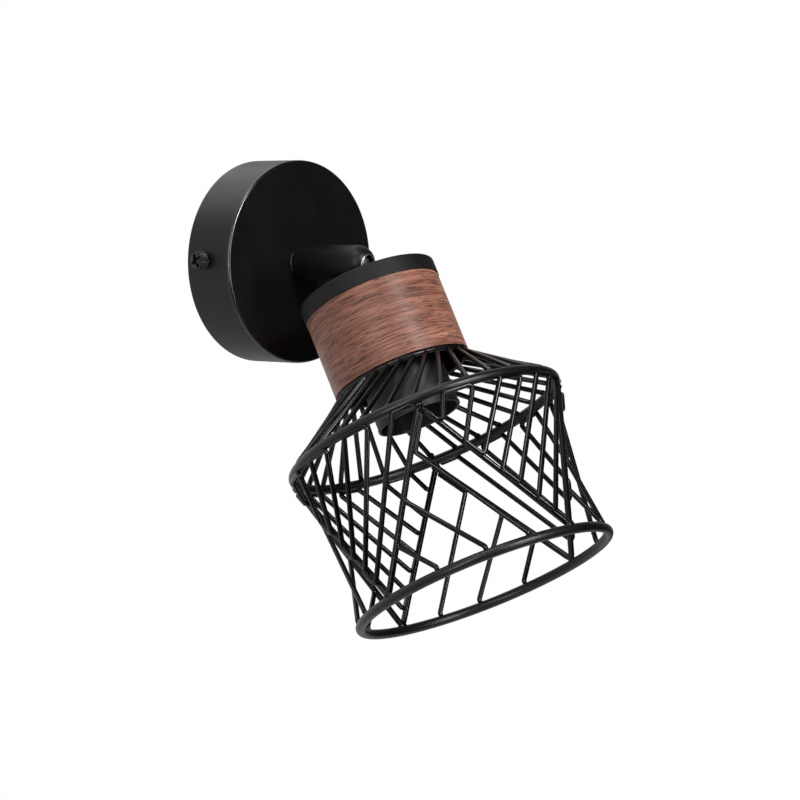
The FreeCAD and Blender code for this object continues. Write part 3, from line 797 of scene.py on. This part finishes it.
def over_leg(top_turn, bottom_turn, shares):
    """Axis points of thin wires that lie on the outside of a leg and are sunk a little into it."""
    points, _ = leg_points(top_turn, bottom_turn, shares)
    return points + outward(points) * (leg_wire + panel_wire - seat_depth)


def beside_leg(top_turn, bottom_turn, shares, far_points, distance):
    """Points at a distance from a leg's axis, on the side of the far points."""
    points, along = leg_points(top_turn, bottom_turn, shares)
    towards = far_points - points
    return points + unit(towards - (towards @ along)[:, None] * along) * distance


def make_upper_wires():
    """Slanted wires between the top and the middle ring, with weld beads at their feet."""
    turn = np.arange(upper_wires) * 360.0 / upper_wires
    starts = cage_point(top_radius, top_level + weld_depth / 2, turn + upper_twist)
    feet = cage_point(middle_radius, middle_level - ring_wire + weld_depth, turn)
    piece = wires("upper_wires", "head", np.stack([starts, feet], axis=1), panel_wire)
    finish(piece, "black_metal", wire_coat)
    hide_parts("cage_upper_wires")
    along = unit(feet - starts)
    beads = blobs("upper_weld_beads", "head", feet - along * panel_wire, along, outward(feet),
                  bead_sizes, seed=3)
    finish(beads, "black_metal", wire_coat)


def panel_path(panel):
    """Corners of a panel's wire, which is bent to and fro: along the leg, up to the middle ring,
    along it, down to the leg, and so on, and last along the ring to the next leg."""
    turn = panel * panel_turn
    reach = ring_wire + panel_wire - seat_depth
    link_radius = middle_radius + reach * math.cos(link_angle)
    link_level = middle_level + reach * math.sin(link_angle)
    tops = cage_point(link_radius, link_level, turn + panel_top_shares * panel_turn)
    feet = over_leg(turn, turn + panel_turn / 2, panel_foot_shares)
    rising = (np.arange(len(tops)) % 2 == 0)[:, None]
    runs = np.stack([np.where(rising, feet, tops), np.where(rising, tops, feet)], axis=1)
    start = over_leg(turn, turn + panel_turn / 2, [panel_start_share])
    end = cage_point(link_radius, link_level, [turn + panel_end_share * panel_turn])
    return np.concatenate([start, runs.reshape(-1, 3), end])


def lower_feet(panel):
    """Feet of the open wires on the bottom ring, and their knees just above."""
    turns = panel * panel_turn + (0.5 - lower_foot_shares) * panel_turn
    feet = cage_point(bottom_radius, bottom_level - ring_wire + weld_depth, turns)
    knees = cage_point(bottom_radius, bottom_level - ring_wire - knee_height, turns)
    return feet, knees


def tailed_path(panel):
    """Corners of the first open wire below an apex, whose tail lies beside the leg."""
    feet, knees = lower_feet(panel)
    turn = panel * panel_turn
    upper = beside_leg(turn, turn - panel_turn / 2, [tail_share, lower_top_shares[0]], knees[:1],
                       leg_wire + panel_wire - touch_depth)
    return np.concatenate([upper, knees[:1], feet[:1]])


def butted_paths(panel):
    """Corners of the other open wires, which are butted to the leg's side."""
    feet, knees = lower_feet(panel)
    turn = panel * panel_turn
    starts = beside_leg(turn, turn - panel_turn / 2, lower_top_shares[1:], knees[1:],
                        leg_wire - seat_depth)
    return np.stack([starts, knees[1:], feet[1:]], axis=1)


def make_panel_wires():
    """Close wires of the four panels."""
    close = bent_lines(np.array([panel_path(panel) for panel in panels]), wire_bend)
    piece = wires("panel_wires", "head", close, panel_wire)
    finish(piece, "black_metal", wire_coat)
    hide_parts("cage_panel_wires")


def make_lower_wires():
    """Open wires between the panels, with weld beads at their upper ends."""
    tailed = bent_lines(np.array([tailed_path(panel) for panel in panels]), wire_bend)
    tailed_piece = wires("tailed_lower_wires", "head", tailed, panel_wire)
    finish(tailed_piece, "black_metal", wire_coat)
    paths = np.concatenate([butted_paths(panel) for panel in panels])
    butted = bent_lines(paths, wire_bend)
    butted_piece = wires("butted_lower_wires", "head", butted, panel_wire)
    finish(butted_piece, "black_metal", wire_coat)
    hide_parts("cage_lower_wires")
    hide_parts("cage_lower_wires")
    along = unit(paths[:, 1] - paths[:, 0])
    starts = paths[:, 0] + along * panel_wire / 2
    beads = blobs("lower_weld_beads", "head", starts, along, outward(starts), joint_bead_sizes,
                  seed=7)
    finish(beads, "black_metal", wire_coat)


def make_legs():
    """One wire bent to and fro between the rings, as a circle carried along its closed line, with a
    weld bead at each turn."""
    count = np.arange(2 * len(panels))
    turns = count * panel_turn / 2
    corners = np.where((count % 2 == 0)[:, None],
                       cage_point(middle_radius, leg_top_level, turns),
                       cage_point(bottom_radius, leg_bottom_level, turns))
    before = unit(np.roll(corners, 1, axis=0) - corners)
    after = unit(np.roll(corners, -1, axis=0) - corners)
    line = corner_arcs(corners, before, after, apex_bend).reshape(-1, 3)
    piece = closed_wire("zigzag_legs", "head", line, outward(line), leg_wire)
    finish(piece, "black_metal", wire_coat)
    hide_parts("cage_legs")
    around = unit(np.cross(head_axis, outward(corners)))
    beads = blobs("apex_weld_beads", "head", corners, around, outward(corners), apex_bead_sizes,
                  seed=5)
    finish(beads, "black_metal", wire_coat)


dress_frame()
make_canopy()
make_screws()
make_slot_lip()
make_cap()
make_veneer()
make_skirt()
make_rings()
make_upper_wires()
make_panel_wires()
make_lower_wires()
make_legs()


# Camera, lamps and stage

def camera_directions():
    """Right, up and backward directions of the camera, from its azimuth, elevation and roll."""
    azimuth, elevation, roll = (math.radians(angle) for angle in (
        camera_azimuth, camera_elevation, camera_roll))
    back = Vector((math.sin(azimuth) * math.cos(elevation),
                   -math.cos(azimuth) * math.cos(elevation), math.sin(elevation)))
    right = Vector((math.cos(azimuth), math.sin(azimuth), 0))
    up = back.cross(right)
    turned_right = right * math.cos(roll) + up * math.sin(roll)
    turned_up = up * math.cos(roll) - right * math.sin(roll)
    return turned_right, turned_up, back


def make_camera():
    """Camera at its distance from a point to the right of and below the origin."""
    right, up, back = camera_directions()
    aim = right * camera_right - up * camera_down
    camera_data = bpy.data.cameras.new("camera")
    camera_data.sensor_width = sensor_width
    camera_data.lens = photo_focus / photo_size * sensor_width
    camera = bpy.data.objects.new("camera", camera_data)
    turn = Matrix((right, up, back)).transposed().to_4x4()
    camera.matrix_world = Matrix.Translation(aim + back * camera_distance) @ turn
    bpy.context.scene.collection.objects.link(camera)
    bpy.context.scene.camera = camera


def softbox(name, place, size, power, aim=lamp_aim, diffuse=True, glossy=True):
    """Rectangular lamp at a place, turned towards its aim. Without diffuse it is only mirrored, and
    without glossy it isn't."""
    light = bpy.data.lights.new(name, "AREA")
    light.shape = "RECTANGLE"
    light.size, light.size_y = size
    light.energy = power
    lamp = bpy.data.objects.new(name, light)
    lamp.location = place
    lamp.visible_diffuse = diffuse
    lamp.visible_glossy = glossy
    lamp.rotation_euler = (Vector(place) - Vector(aim)).to_track_quat("Z", "Y").to_euler()
    bpy.context.scene.collection.objects.link(lamp)


def room_level(tree, direction):
    """Brightness of the room in a direction: high behind and to the left, low in front and to the
    right."""
    side = vector_maths(tree, "DOT_PRODUCT", direction, bright_side, result="Value")
    return map_range(tree, side, (room_dark, room_bright), bright_span)


def make_floor():
    """Pale floor well below the lamp. Near the middle it keeps the shadow. Towards its rim it is
    plain white where it is looked at, and as bright as the room where it is mirrored."""
    material, tree, shader = new_material("pale_floor", grey(floor_tone), floor_roughness,
                                          specular=floor_specular)
    ray = add_node(tree, "LightPath").outputs
    place = coordinates(tree)
    seen = maths(tree, "MAXIMUM", ray["Is Camera Ray"], ray["Is Transmission Ray"])
    seen_or_mirrored = maths(tree, "MAXIMUM", seen, ray["Is Glossy Ray"])
    flat = vector_maths(tree, "MULTIPLY", place, (1, 1, 0))
    reach = vector_maths(tree, "LENGTH", flat, result="Value")
    share = maths(tree, "MULTIPLY", seen_or_mirrored, map_range(tree, reach, source=floor_fade))
    room = room_level(tree, vector_maths(tree, "NORMALIZE", place))
    glow = add_node(tree, "Emission", {"Color": (1, 1, 1, 1),
                                       "Strength": map_range(tree, seen, (room, 1.0))})
    mix = add_node(tree, "MixShader", {"Fac": share, 1: shader.outputs["BSDF"],
                                       2: glow.outputs["Emission"]})
    set_values(tree, tree.nodes["Material Output"], {"Surface": mix.outputs["Shader"]})

    angle = np.linspace(0, 2 * math.pi, floor_sides, endpoint=False)
    rim = np.stack([np.cos(angle) * floor_radius, np.sin(angle) * floor_radius,
                    0 * angle - floor_drop], axis=1)
    mesh = bpy.data.meshes.new("floor")
    mesh.from_pydata(rim, [], [tuple(range(len(rim)))])
    mesh.materials.append(material)
    floor = bpy.data.objects.new("floor", mesh)
    bpy.context.scene.collection.objects.link(floor)


def make_world():
    """White where the camera looks. As a lamp it is a soft room, bright behind and to the left, and
    dark to the front and the right."""
    world = bpy.data.worlds.new("studio")
    bpy.context.scene.world = world
    world.use_nodes = True
    tree = world.node_tree
    ray = add_node(tree, "LightPath").outputs
    room = room_level(tree, coordinates(tree, "Generated"))
    softer = map_range(tree, ray["Is Diffuse Ray"], (1.0, room_diffuse_share))
    level = map_range(tree, ray["Is Camera Ray"], (maths(tree, "MULTIPLY", room, softer), 1.0))
    set_values(tree, tree.nodes["Background"], {"Color": (1, 1, 1, 1), "Strength": level})


make_camera()
make_floor()
make_world()
for lamp_name, settings in lamps.items():
    softbox(lamp_name, **settings)

scene = bpy.context.scene
scene.view_settings.view_transform = "Standard"
